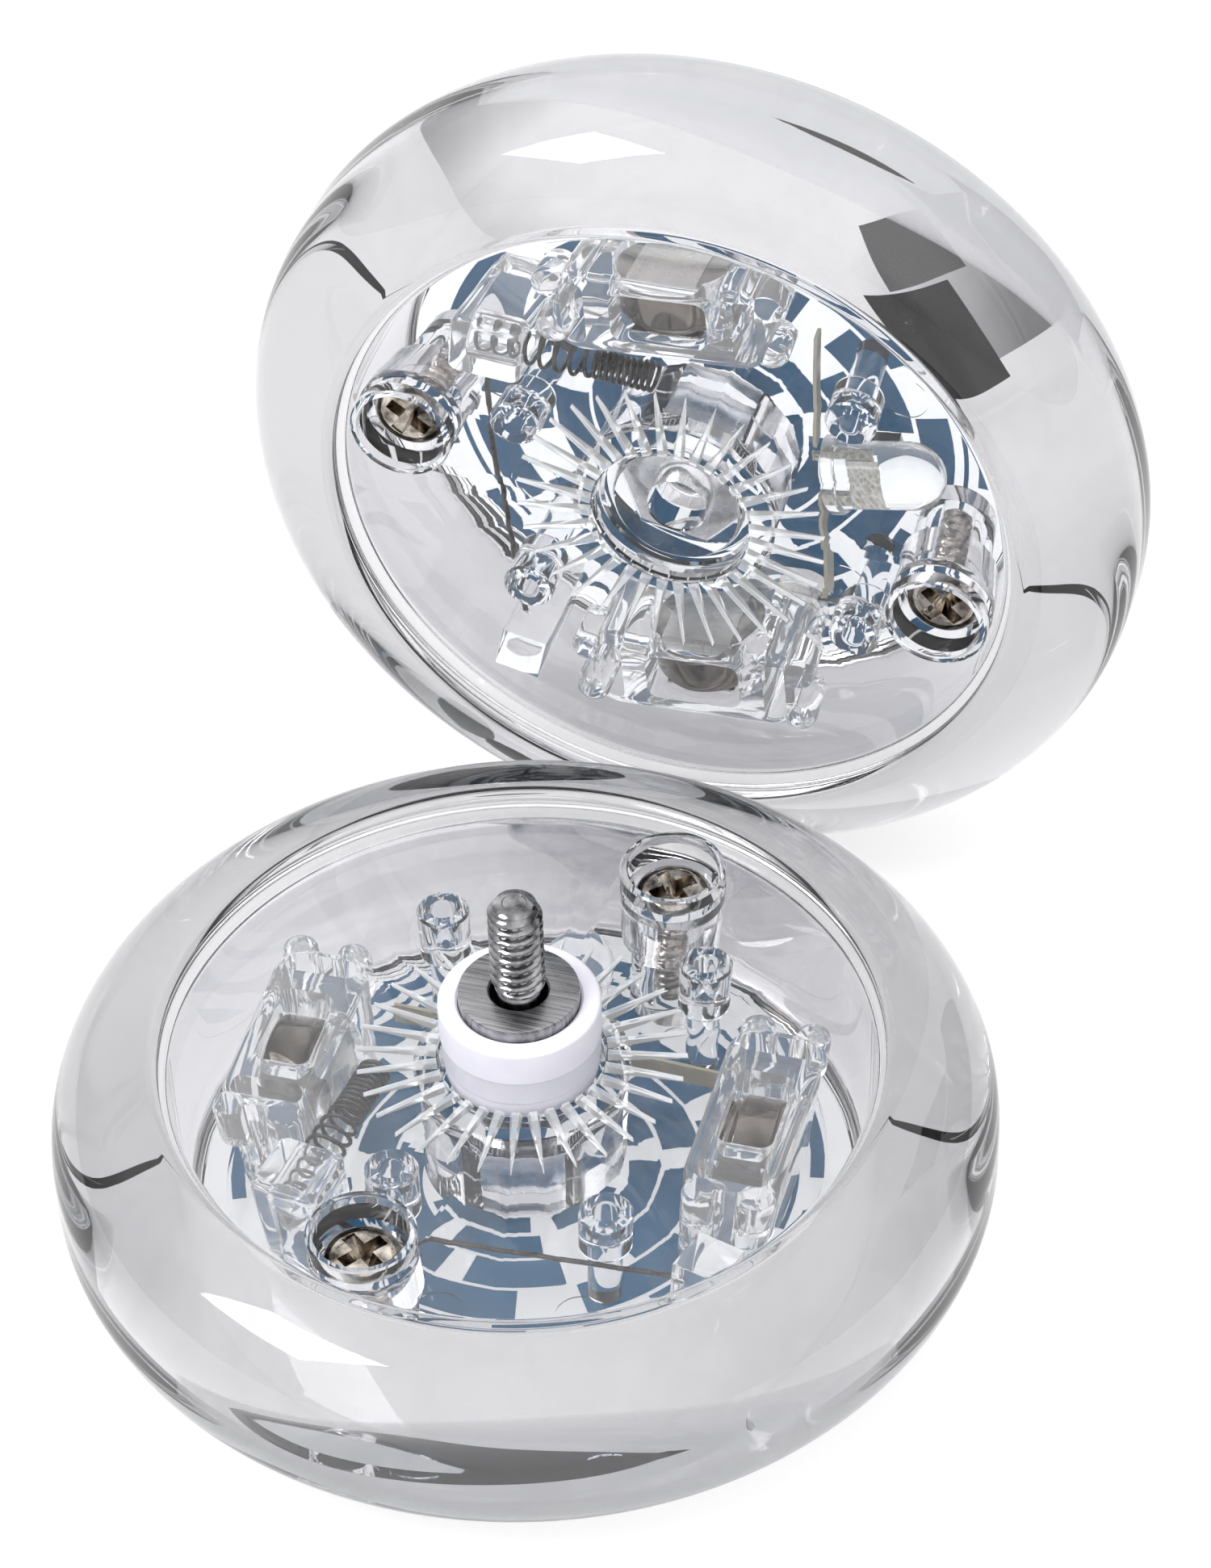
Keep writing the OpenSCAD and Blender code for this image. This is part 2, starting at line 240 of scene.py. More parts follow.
def finish_piece(name, points, faces, material, body, nodes, flat_uv=None, sharp=35, second=None):
    """Makes the finished piece, ties it to its CAD body and hides the CAD nodes it replaces.

    second holds further finishes and each face's finish number."""
    mesh = bpy.data.meshes.new(name)
    mesh.from_pydata(np.asarray(points).tolist(), [], faces)
    if flat_uv is not None:
        loops = np.empty(len(mesh.loops), int)
        mesh.loops.foreach_get("vertex_index", loops)
        mesh.uv_layers.new(name="flat").data.foreach_set("uv", flat_uv[loops].ravel())
    if second:
        for each in (material, *second[0]):
            mesh.materials.append(each)
        mesh.polygons.foreach_set("material_index", second[1].astype(np.int32))
    mesh.validate()
    mesh.shade_smooth()
    mesh.set_sharp_from_angle(angle=math.radians(sharp))
    if not second:
        mesh.materials.append(material)
    piece = bpy.data.objects.new(name, mesh)
    SCENE.collection.objects.link(piece)
    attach(piece, body)
    if nodes:
        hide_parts(*nodes)
    return piece


def in_both_halves(part, shape, material, body="module", sharp=35, second=None):
    """Places one shape in both halves, riding on each half's own body."""
    points, faces = shape
    points = np.asarray(points)
    for half in HALF_PLACES:
        ride_on = f"{half}_half" if body == "half" else f"{half}_{body}"
        finish_piece(f"{half}_{part}_look", in_row(points, half), faces, material,
                     ride_on, [f"{half}_{part}"],
                     flat_uv=points[:, :2] / 50 + 0.5, sharp=sharp, second=second)
    print(part, "faces:", len(faces))


# %% [markdown]
# ## Finishes
#
# The plastic is clear, so its finish is nearly all refraction. Moulded
# polycarbonate still has soft flow ripples and a little haze, which a low
# bump, a slight change in roughness and a small white scatter give. The haze
# adds up where light crosses many walls, so deep places turn milky and not
# black. The plastics also carry a faint painted glow, a white emission that
# brightens them though they are no lamp. Metals take their look from
# roughness and fine scratches; on the cells and screws the tint also holds
# painted sheen.

# %% Material helper
def finish(name, **sockets):
    """A Principled material; uniform values sit on the shader's own sockets."""
    material = bpy.data.materials.new(name)
    material.use_nodes = True
    tree = material.node_tree
    shader = tree.nodes["Principled BSDF"]
    for key, value in sockets.items():
        shader.inputs[key.replace("_", " ")].default_value = value
    return material, tree, shader


def noise(tree, scale, stretch=(1, 1, 1), detail=3.0):
    """Noise on Object coordinates, its scale in patches a metre."""
    coords = tree.nodes.new("ShaderNodeTexCoord")
    mapping = tree.nodes.new("ShaderNodeMapping")
    mapping.inputs["Scale"].default_value = stretch
    texture = tree.nodes.new("ShaderNodeTexNoise")
    texture.inputs["Scale"].default_value = scale
    texture.inputs["Detail"].default_value = detail
    tree.links.new(coords.outputs["Object"], mapping.inputs["Vector"])
    tree.links.new(mapping.outputs["Vector"], texture.inputs["Vector"])
    return texture.outputs["Fac"]


def spread(tree, value, low, high):
    """Maps a 0 to 1 value onto a low to high range."""
    ramp = tree.nodes.new("ShaderNodeMapRange")
    ramp.inputs["From Min"].default_value = 0.3
    ramp.inputs["From Max"].default_value = 0.7
    ramp.inputs["To Min"].default_value = low
    ramp.inputs["To Max"].default_value = high
    tree.links.new(value, ramp.inputs["Value"])
    return ramp.outputs["Result"]


def tinted(tree, value, dark, light):
    """A colour between two tints, picked by a 0 to 1 value."""
    ramp = tree.nodes.new("ShaderNodeValToRGB")
    ramp.color_ramp.elements[0].position = 0.3
    ramp.color_ramp.elements[1].position = 0.7
    ramp.color_ramp.elements[0].color = (*dark, 1)
    ramp.color_ramp.elements[1].color = (*light, 1)
    tree.links.new(value, ramp.inputs["Fac"])
    return ramp.outputs["Color"]


def bumped(tree, shader, value, depth, strength=1.0):
    """Tilts the surface by a height pattern of the given depth in metres."""
    bump = tree.nodes.new("ShaderNodeBump")
    bump.inputs["Strength"].default_value = strength
    bump.inputs["Distance"].default_value = depth
    tree.links.new(value, bump.inputs["Height"])
    tree.links.new(bump.outputs["Normal"], shader.inputs["Normal"])


# %% Clear plastics
def clear_plastic(name, tint, haze, ripple, milk=0.04, ior=1.5, painted_glow=0.0, mirror=1.0):
    """Clear moulded plastic: milk is the share of light that scatters white.

    glow is painted light: a faint white emission that brightens the plastic, though it is no lamp.
    mirror scales the shine of faces that lie in pairs close together."""
    material, tree, shader = finish(name, Base_Color=(*tint, 1), IOR=ior,
                                    Transmission_Weight=1.0 - milk,
                                    Specular_Tint=(mirror, mirror, mirror, 1),
                                    Emission_Color=(1.0, 1.0, 1.0, 1), Emission_Strength=painted_glow)
    tree.links.new(spread(tree, noise(tree, 240), 0.0, haze), shader.inputs["Roughness"])
    bumped(tree, shader, noise(tree, 110, detail=1.0), ripple)
    return material


# These clear plastics carry a painted glow, strongest on the modules, the lens and the frosted ribs.
CLEAR_RIM = clear_plastic("clear_rim_plastic", (0.6, 0.595, 0.615), 0.02, 0.00004, milk=0.012)
CLEAR_WEB = clear_plastic("clear_web_plastic", (0.96, 0.96, 0.975), 0.02, 0.00004,
                          milk=0.015, painted_glow=0.003, mirror=0.6)
CLEAR_CAP = clear_plastic("clear_cap_plastic", (0.96, 0.97, 0.98), 0.02, 0.00004, milk=0.01)
CLEAR_PLATE = clear_plastic("clear_plate_plastic", (0.97, 0.98, 0.99), 0.03, 0.00004,
                            milk=0.015, ior=1.4, painted_glow=0.004, mirror=0.4)
CLEAR_MODULE = clear_plastic("clear_module_plastic", (0.99, 0.995, 1.0), 0.03, 0.00005,
                             milk=0.03, ior=1.4, painted_glow=0.035)
CLEAR_LENS = clear_plastic("clear_lens_epoxy", (0.99, 0.995, 1.0), 0.03, 0.00002,
                           milk=0.03, ior=1.42, painted_glow=0.04)
FROSTED_RIB = clear_plastic("frosted_rib_plastic", (0.95, 0.965, 0.985), 0.35, 0.00003, milk=0.25, painted_glow=0.12)


# %% Metals and solid plastics
def metal(name, dark, light, rough, grain=900, stretch=(1, 1, 1), depth=0.00001):
    """A metal whose tint and roughness vary with one noise pattern: grain, and on the cells and screws also
    painted sheen.
    """
    material, tree, shader = finish(name, Metallic=1.0)
    pattern = noise(tree, grain, stretch)
    tree.links.new(tinted(tree, pattern, dark, light), shader.inputs["Base Color"])
    tree.links.new(spread(tree, pattern, *rough), shader.inputs["Roughness"])
    bumped(tree, shader, pattern, depth)
    return material


# The screws' tint swings from near black to bright: partly real grain, partly painted glints and dark
# reflections.
SCREW_NICKEL_GRAIN_AND_GLINTS = metal("screw_nickel_grain_and_glints", (0.06, 0.05, 0.04), (0.75, 0.68, 0.6), (0.05, 0.16), grain=900,
                     depth=0.00004)
NUT_PLATING = metal("nut_plating", (0.8, 0.8, 0.81), (0.94, 0.94, 0.95), (0.2, 0.35))
# The cells' broad dark and bright tint patches are painted sheen, standing in for reflections of a darker
# room.
CELL_NICKEL_PAINTED_SHEEN = metal("cell_nickel_painted_sheen", (0.02, 0.016, 0.013), (0.28, 0.25, 0.22), (0.05, 0.14),
                    grain=240, stretch=(1, 1, 0.5))
SPRING_WIRE = metal("spring_wire_steel", (0.025, 0.023, 0.021), (0.1, 0.094, 0.088), (0.22, 0.4))
CONTACT_STEEL = metal("contact_steel", (0.45, 0.43, 0.4), (0.65, 0.62, 0.57), (0.2, 0.4))
ROD_ZINC = metal("axle_rod_zinc", (0.07, 0.07, 0.075), (0.4, 0.4, 0.41), (0.05, 0.14), stretch=(1, 1, 0.3))
SLEEVE_STEEL = metal("sleeve_ground_steel", (0.16, 0.16, 0.165), (0.4, 0.4, 0.41), (0.2, 0.38),
                     grain=700, stretch=(0.25, 9, 1), depth=0.00002)


def solid_plastic(name, dark, light, rough, grain=300):
    """Opaque moulded plastic or ink, faintly mottled."""
    material, tree, shader = finish(name)
    pattern = noise(tree, grain)
    tree.links.new(tinted(tree, pattern, dark, light), shader.inputs["Base Color"])
    tree.links.new(spread(tree, pattern, *rough), shader.inputs["Roughness"])
    bumped(tree, shader, noise(tree, grain * 8), 0.00001)
    return material


WHITE_ACETAL = solid_plastic("white_acetal", (0.8, 0.79, 0.9), (0.88, 0.87, 0.95), (0.28, 0.4))
BLUE_INK = solid_plastic("blue_ink", (0.001, 0.22, 0.5), (0.003, 0.29, 0.62), (0.5, 0.65))
ink_shader = BLUE_INK.node_tree.nodes["Principled BSDF"]
ink_shader.inputs["Transmission Weight"].default_value = 0.25
ink_shader.inputs["IOR"].default_value = 1.15
CREAM_TIN = solid_plastic("cream_tin", (0.6, 0.56, 0.42), (0.75, 0.71, 0.58), (0.3, 0.5))

# %% [markdown]
# ## The shell
#
# The shell is one thick clear moulding: a fat round rim, a flat web, a hub
# for the nut and two wells for the screws. The rim is a lathe shape, so its
# whole section is one closed profile. The wells, the starburst and the hex
# pocket can't be turned, so they are joined or cut afterwards.

# %% Shell profile
HALF_T, WEB_TOP, WEB_BOT = 14.8, 13.8, 12.4
ROUND_IN, ROUND_OUT, CAVITY_R, HUB_R = 6.3, 6.4, 23.3, 6.7
SEAT_Z, WELL_FLOOR, SCREW_R = 12.5, 11.4, 18.74
shell_profile = np.concatenate([
    [(2.0, 4.0), (2.0, 8.0), (2.0, SEAT_Z - 0.1), (2.1, SEAT_Z), (4.25, SEAT_Z), (4.4, SEAT_Z - 0.12),
     (4.45, SEAT_Z - 0.4), (4.6, SEAT_Z - 0.5), (5.1, SEAT_Z - 0.5), (5.3, SEAT_Z - 0.3),
     (5.35, SEAT_Z), (5.35, WEB_TOP - 0.12), (5.45, WEB_TOP), (22.6, WEB_TOP)],
    arc(22.6, WEB_TOP + 0.7, 0.7, -90, 0, 5),
    [(23.5, HALF_T - 0.12), (23.8, HALF_T)],
    arc(OUTER_R - ROUND_IN, HALF_T - ROUND_IN, ROUND_IN, 90, 0, 28),
    arc(OUTER_R - ROUND_OUT, ROUND_OUT, ROUND_OUT, 0, -90, 28),
    [(CAVITY_R + 0.12, 0.0), (CAVITY_R, 0.12), (CAVITY_R, WEB_BOT - 0.6)],
    arc(CAVITY_R - 0.6, WEB_BOT - 0.6, 0.6, 0, 90, 5)[1:],
    [(HUB_R + 0.3, WEB_BOT), (HUB_R, WEB_BOT - 0.3), (HUB_R, 4.15), (HUB_R - 0.15, 4.0)],
])
shell_profile = shell_profile[::-1]

# %% Wells, rays and cuts
RAY_COUNT = 32


def ray(turn):
    """One starburst rib: a wedge, wide by the hub and pointed outside."""
    wedge = np.array([(5.5, -0.44), (10.6, -0.03), (10.6, 0.03), (5.5, 0.44)])
    low = np.c_[wedge, np.full(4, WEB_TOP - 0.1)]
    high = np.c_[wedge * (1, 0.55), np.full(4, WEB_TOP + 0.38)]
    return moved(stack([low, high]), turn_z(turn))


rays = merged([ray((i + 0.5) * 2 * math.pi / RAY_COUNT) for i in range(RAY_COUNT)])
wells = merged([disc(3.5, 8.2, HALF_T, at=(s * SCREW_R, 0), sides=72, edge=0.12) for s in (-1, 1)])
well_bores = merged([moved(lathe([(1.3, 7.0), (1.3, WELL_FLOOR), (2.95, WELL_FLOOR), (3.0, WELL_FLOOR + 0.1),
                                  (3.0, HALF_T - 0.15), (3.15, HALF_T + 0.3)], 72), shift=(s * SCREW_R, 0, 0))
                     for s in (-1, 1)])
hexagon = arc(0, 0, 4.64, 0, 300, 6)
shell = carve(lathe(shell_profile, 256, wrap=True), join=[wells, rays],
              cut=[well_bores, prism(hexagon, 3.0, 9.0)])
# The ribs' faces are the ones above the web, between the seat and their tips.
middles = np.array([shell[0][face].mean(0) for face in shell[1]])
reach = np.hypot(middles[:, 0], middles[:, 1])
# The thick rim shows a little grey from its depth; the thin web doesn't.
is_rib = (middles[:, 2] > WEB_TOP + 0.02) & (reach < 11)
is_rim = reach > CAVITY_R - 0.02
print("frosted rib faces:", int(is_rib.sum()), "rim faces:", int(is_rim.sum()))
in_both_halves("shell", shell, CLEAR_WEB, body="half",
               second=((FROSTED_RIB, CLEAR_RIM), is_rib + 2 * is_rim))

# %% [markdown]
# ## The outer disc and the printed film
#
# A clear disc closes each half. A thin film lies on it with a blue print of
# broken rings. The print is cut as thin solid patches, so
# it stays sharp at any distance and also exists as real geometry.

# %% Disc, film and print
in_both_halves("cap", disc(CAVITY_R - 0.2, 0.0, 1.2, sides=192, edge=0.12), CLEAR_CAP)
FILM = clear_plastic("clear_film", (0.99, 0.99, 0.99), 0.04, 0.00001, milk=0.0, ior=1.3, mirror=0.3)
in_both_halves("label", disc(21.0, 1.25, 1.39, sides=128), FILM)
INK_Z0, INK_Z1 = 1.395, 1.43


def patch(r0, r1, start, end, steps=0):
    """A thin ink patch between two radii and two angles in degrees."""
    steps = steps or max(3, int(abs(end - start) / 3))
    outline = np.concatenate([arc(0, 0, r1, start, end, steps), arc(0, 0, r0, end, start, steps)])
    return prism(outline, INK_Z0, INK_Z1)


def broken_ring(r0, r1, count, cover, shift):
    """Arc patches round a ring; their lengths swing by a sine of their number."""
    pitch = 360 / count
    i = np.arange(count)
    start = i * pitch + shift
    length = pitch * (cover + 0.14 * np.sin(2.4 * i + shift))
    return [patch(r0, r1, s, s + w) for s, w in zip(start, length)]


prints = broken_ring(19.7, 20.7, 5, 0.8, 8) + broken_ring(18.6, 18.95, 3, 0.75, 40)
prints += broken_ring(15.4, 17.9, 9, 0.68, 4) + broken_ring(12.2, 15.05, 7, 0.74, 22)
prints += broken_ring(9.3, 11.9, 6, 0.72, 10) + broken_ring(6.9, 9.0, 5, 0.74, 31)
prints += broken_ring(2.4, 4.4, 3, 0.8, 0) + broken_ring(5.0, 6.5, 4, 0.7, 50)
ink_shape = merged(prints)
for half in HALF_PLACES:
    finish_piece(f"{half}_print", in_row(ink_shape[0], half), ink_shape[1], BLUE_INK,
                 f"{half}_module", [])

# %% [markdown]
# ## The carrier plate
#
# A thin plate holds the light module. Four hollow pegs and two bosses stand
# on it. Its outline swings in and out round the parts, so the outline is a
# circle whose radius changes smoothly with the angle.

# %% Carrier
PEGS = [(-11.8, 2.4), (-8.3, -11.3), (13.8, -5.5), (9.6, 12.2)]
PLATE_Z0, PLATE_Z1 = 1.46, 2.45
theta = np.linspace(0, 2 * np.pi, 240, endpoint=False)
plate_r = 21.2 + 1.2 * np.cos(2 * theta) + 0.25 * np.cos(6 * theta + 0.6)
plate_outline = np.c_[plate_r * np.cos(theta), plate_r * np.sin(theta)]
peg_profile = [(1.15, 2.3), (1.15, 8.35), (1.3, 8.5), (1.6, 8.5), (1.75, 8.65), (1.75, 12.05), (1.6, 12.2)]
pegs = [moved(lathe(peg_profile, 48), shift=(x, y, 0)) for x, y in PEGS]
peg_bore = lathe([(0.3, 9.6), (0.72, 9.9), (0.75, 12.0), (1.0, 12.4)], 36)
peg_holes = merged([moved(peg_bore, shift=(x, y, 0)) for x, y in PEGS])
bosses = [disc(2.9, 2.3, 7.95, at=(s * SCREW_R, 0), sides=64, edge=0.12) for s in (-1, 1)]
boss_holes = merged([disc(1.25, 3.2, 9.0, at=(s * SCREW_R, 0)) for s in (-1, 1)])
LED_AT, LED_TURN = np.array([9.0, 2.6, 6.2]), math.radians(24.2)
BOX_TURNS = {"a": math.radians(-74.1 - 90), "b": math.radians(105.9 - 90)}
BOX_R, CELL_Z, BLOCK_Z0, BOX_TOP = 15.4, 7.4, 2.47, 12.0
rests = [moved(block(-2, 2, BOX_R - 1.4, BOX_R + 1.4, 2.3, 3.4), turn_z(t)) for t in BOX_TURNS.values()]
led_rest = moved(block(2, 5, -1.2, 1.2, 2.3, 3.6), turn_z(LED_TURN), (LED_AT[0], LED_AT[1], 0))
ACROSS = np.array([[0, 0, 1.0], [0, 1, 0], [-1, 0, 0]])
led_bed = moved(disc(2.55, 0, 8), turn_z(LED_TURN) @ ACROSS, LED_AT)
pin_marks = merged([disc(1.75, 2.3, 2.6, at=(15.5 * math.cos(a), 15.5 * math.sin(a)))
                    for a in (-0.2, 0.62, 2.35, 3.3, -2.35, -0.75)])
carrier = carve(prism(plate_outline, PLATE_Z0, PLATE_Z1),
                join=[merged(pegs), merged(bosses), merged(rests), led_rest],
                cut=[peg_holes, boss_holes, led_bed, pin_marks])
in_both_halves("carrier", carrier, CLEAR_PLATE)

# %% [markdown]
# ## Battery boxes and cells
#
# Each box is a clear block with a window on top, where a button cell shows
# standing on edge. Round lugs stand at its ends. Rounded moulded edges catch
# the light, so a small bevel matters here more than any texture.

# %% Battery boxes
TIP_BACK = np.array([[1.0, 0, 0], [0, 0, -1], [0, 1, 0]])


def across_box(radius, length, middle):
    """A round bar lying along the box's y, centred on the cell."""
    return moved(disc(radius, -length / 2, length / 2, sides=64), TIP_BACK, (0, middle, CELL_Z))


def rounded(x, y, radius, steps=8):
    """A rectangle of half sizes x and y about the origin, its corners rounded."""
    turns = ((1, 1, 0), (-1, 1, 90), (-1, -1, 180), (1, -1, 270))
    corners = [arc(sx * (x - radius), sy * (y - radius), radius, a, a + 90, steps)
               for sx, sy, a in turns]
    return np.concatenate(corners)


def soft_block(outline, z0, z1, round_top):
    """An outline carried up whose top edge rolls inwards by a quarter circle.

    Each point moves towards the outline's middle in proportion to its size."""
    outline = np.asarray(outline, float)
    middle = (outline.max(0) + outline.min(0)) / 2
    half = (outline.max(0) - outline.min(0)) / 2
    turn = np.radians(np.linspace(0, 90, 7))
    inset, height = round_top * (1 - np.cos(turn)), z1 - round_top * (1 - np.sin(turn))
    rings = [np.c_[outline, np.full(len(outline), z0)]]
    rings += [np.c_[middle + (outline - middle) * (1 - i / half), np.full(len(outline), z)]
              for i, z in zip(inset, height)]
    return stack(rings)


LUGS = [(s * 7.4, y) for s in (-1, 1) for y in (-1.6, 2.0)]
lugs = [lathe([(1.0, 8.5), (1.25, 8.75), (1.25, 11.4), (1.08, 11.82), (0.65, 12.0)], 36) for _ in LUGS]
lugs = [moved(lug, shift=(x, BOX_R + y, 0)) for lug, (x, y) in zip(lugs, LUGS)]
box_body = moved(soft_block(rounded(7.4, 3.2, 2.0), BLOCK_Z0, BOX_TOP, 0.7), shift=(0, BOX_R, 0))
window = moved(prism(rounded(3.3, 1.85, 0.8), CELL_Z, 13.4), shift=(0, BOX_R, 0))
box_cuts = [
    across_box(4.05, 4.1, BOX_R),
    block(-4.05, 4.05, BOX_R - 2.05, BOX_R + 2.05, 1, CELL_Z),
    window,
]
for sx in (-1, 1):
    box_cuts.append(moved(prism(rounded(0.8, 2.4, 0.6), 5.2, 13.2), shift=(sx * 5.8, BOX_R, 0)))
    box_cuts.append(moved(prism(rounded(1.0, 0.9, 0.5), 4.6, 13.6), shift=(sx * 8.2, BOX_R + 0.2, 0)))
for side in (1.8, -2.05):
    box_cuts.append(block(-9, 9, BOX_R + side, BOX_R + side + 0.25, 3.5, 4.5))
battery_box = carve(box_body, join=lugs, cut=box_cuts, bevel=0.16, segments=2)
for letter, t in BOX_TURNS.items():
    in_both_halves(f"battery_box_{letter}", moved(battery_box, turn_z(t)), CLEAR_MODULE)

# %% Cells
cell_profile = np.concatenate([
    [(0.02, -1.8), (3.5, -1.8)], arc(3.5, -1.35, 0.45, -90, 0, 7), arc(3.7, 0.85, 0.25, 0, 90, 6),
    [(3.6, 1.12), (3.42, 1.12), (3.4, 1.2)], arc(3.15, 1.45, 0.35, 0, 90, 6), [(0.02, 1.8)]])
cell = moved(lathe(cell_profile, 96), TIP_BACK, (0, BOX_R, CELL_Z))
for letter, t in BOX_TURNS.items():
    in_both_halves(f"cell_{letter}", moved(cell, turn_z(t)), CELL_NICKEL_PAINTED_SHEEN)

# %% [markdown]
# ## Tubes along a path
#
# Springs and wires are round sections carried along a path. At each point of
# the path the section lies in the plane across the path, found from the
# path's direction and one steady helper direction.

# %% Tube maker and the switch
def tube(path, radius, sides=10):
    """A round tube: path point + radius (cos b * side + sin b * lift)."""
    path = np.asarray(path, float)
    along = np.gradient(path, axis=0)
    along /= np.linalg.norm(along, axis=1)[:, None]
    helper = np.where(np.abs(along[:, 2:]) > 0.9, [[1.0, 0, 0]], [[0, 0, 1.0]])
    side = np.cross(along, helper)
    side /= np.linalg.norm(side, axis=1)[:, None]
    lift = np.cross(side, along)
    b = np.linspace(0, 2 * np.pi, sides, endpoint=False)[None, :, None]
    rings = path[:, None] + radius * (np.cos(b) * side[:, None] + np.sin(b) * lift[:, None])
    return stack(rings[:, ::-1])


HOLD_AT, HOLD_TURN, SPRING_Z, TURNS = (-14.9, 7.55), math.radians(7.3), 10.4, 18
turn_no = np.linspace(0, TURNS, TURNS * 20 + 1)
coil_r = np.interp(turn_no, [0, 2.7, 3.6, 4.5, 6, 8, TURNS], [0.95, 0.95, 1.2, 1.22, 1.15, 0.98, 0.98])
coil_x = np.interp(turn_no, [0, 3, 7.5, TURNS], [0, 3.4, 8.0, 12.4])
coil = np.c_[coil_x - 1.0, coil_r * np.cos(2 * np.pi * turn_no), coil_r * np.sin(2 * np.pi * turn_no)]
radial = np.c_[0 * turn_no, np.cos(2 * np.pi * turn_no), np.sin(2 * np.pi * turn_no)][:, None]
b = np.linspace(0, 2 * np.pi, 8, endpoint=False)[None, :, None]
coil_rings = coil[:, None] + 0.148 * (np.cos(b) * radial + np.sin(b) * np.array([1.0, 0, 0]))
spring = moved(stack(coil_rings), turn_z(HOLD_TURN), (*HOLD_AT, SPRING_Z))
in_both_halves("switch_spring", spring, SPRING_WIRE, body="switch")

holder = carve(soft_block(rounded(2.5, 2.3, 0.6), BLOCK_Z0, 12.2, 0.5),
               cut=[moved(disc(1.35, 0, 5), ACROSS, (-1.3, 0, SPRING_Z))], bevel=0.16, segments=2)
in_both_halves("spring_holder", moved(holder, turn_z(HOLD_TURN), (*HOLD_AT, 0)), CLEAR_MODULE)

wire_t = np.linspace(0, 1, 40)
wire = np.c_[np.interp(wire_t, [0, 0.1, 1], [-15.2, -14.9, -8.6]),
             np.interp(wire_t, [0, 0.1, 1], [4.9, 2.0, -17.6]), np.full(40, 9.0)]
in_both_halves("switch_wire", tube(wire, 0.19), SPRING_WIRE)
far_block = carve(block(-9.5, -6.3, -20.3, -16.9, BLOCK_Z0, 11.4), cut=[tube(wire[4:], 0.3)],
                  bevel=0.25, segments=3)
in_both_halves("contact_block", far_block, CLEAR_MODULE)

# %% [markdown]
# ## The LED
#
# A round clear lens lies on its side with its dome outwards. Inside it sits a
# flat knurled lead frame. The lens is one lathe shape laid over.

# %% LED
LENS_R, DOME_AT = 2.5, 6.1
lens_profile = np.concatenate([
    [(0.02, 0.0), (2.75, 0.0), (2.9, 0.15), (2.9, 0.9), (2.8, 1.0), (LENS_R, 1.02), (LENS_R, DOME_AT)],
    arc(0, DOME_AT, LENS_R, 0, 89, 14)[1:]])
LAY_LED = turn_z(LED_TURN) @ ACROSS
frame_room = moved(block(-0.28, 0.28, -1.93, 1.13, 1.57, 3.93), LAY_LED, LED_AT)
lens = carve(moved(lathe(lens_profile, 72), LAY_LED, LED_AT), cut=[frame_room])
in_both_halves("led_lens", lens, CLEAR_LENS, sharp=30)
LEAD_FRAME, lead_tree, lead_shader = finish("lead_frame_knurl", Metallic=0.75, Roughness=0.42)
knurl = lead_tree.nodes.new("ShaderNodeTexVoronoi")
knurl.inputs["Scale"].default_value = 3200
lead_coords = lead_tree.nodes.new("ShaderNodeTexCoord")
lead_tree.links.new(lead_coords.outputs["Object"], knurl.inputs["Vector"])
lead_tree.links.new(tinted(lead_tree, knurl.outputs["Distance"], (0.55, 0.52, 0.42), (0.88, 0.86, 0.76)),
                    lead_shader.inputs["Base Color"])
bumped(lead_tree, lead_shader, knurl.outputs["Distance"], 0.00012)

# %% [markdown]
# ## Screws
#
# The two screws are nickel pan heads with a deep cross. The thread is one
# surface: the radius depends on both the height and the angle, so the crest
# winds upwards like a real thread.

# %% Threaded surfaces and screws
def threaded(r_crest, r_root, pitch, z0, z1, sides=48, per_pitch=10):
    """A right-hand thread: radius follows cos(2 pi (z / pitch - angle))."""
    z = np.linspace(z0, z1, max(4, int((z1 - z0) / pitch * per_pitch)))[:, None]
    a = np.linspace(0, 2 * np.pi, sides, endpoint=False)[None, :]
    wave = np.clip(1.25 * np.cos(2 * np.pi * z / pitch - a), -1, 1) * 0.5 + 0.5
    ends = np.clip(np.minimum(z - z0, z1 - z) / (pitch * 0.6), 0, 1)
    r = r_root + (r_crest - r_root) * wave * ends
    return np.stack([r * np.cos(a), r * np.sin(a), z + 0 * a], -1)


def circles(profile, sides=48):
    """One ring for each (radius, z) point."""
    a = np.linspace(0, 2 * np.pi, sides, endpoint=False)
    return np.array([[(r * math.cos(t), r * math.sin(t), z) for t in a] for r, z in profile])


def cross_ring(arm, half, z):
    """A plus-shaped outline with the given arm length and half width."""
    corners = [(arm, -half), (arm, half), (half, half), (half, arm), (-half, arm), (-half, half),
               (-arm, half), (-arm, -half), (-half, -half), (-half, -arm), (half, -arm), (half, -half)]
    return [(x, y, z) for x, y in corners]


head_profile = [(1.16, WELL_FLOOR + 0.02), (2.4, WELL_FLOOR + 0.02), (2.52, WELL_FLOOR + 0.16),
                (2.54, 12.3), (2.44, 12.62), (2.15, 12.86), (1.7, 12.97), (1.2, 13.0)]
SHANK_Z0, SHANK_PITCH = 3.6, 0.8
shank_rings = threaded(1.15, 0.88, SHANK_PITCH, SHANK_Z0 + 0.1, WELL_FLOOR + 0.02)
screw_rings = np.concatenate([circles([(0.5, SHANK_Z0)]), shank_rings, circles(head_profile)])
cross_cut = stack([cross_ring(0.6, 0.2, 11.75), cross_ring(1.5, 0.42, 12.75), cross_ring(1.75, 0.5, 13.3)])
screw = carve(stack(screw_rings), cut=[moved(cross_cut, turn_z(math.radians(18)))])
screws = merged([moved(screw, turn_z(0.7 * s), (s * SCREW_R, 0, 0)) for s in (-1, 1)])
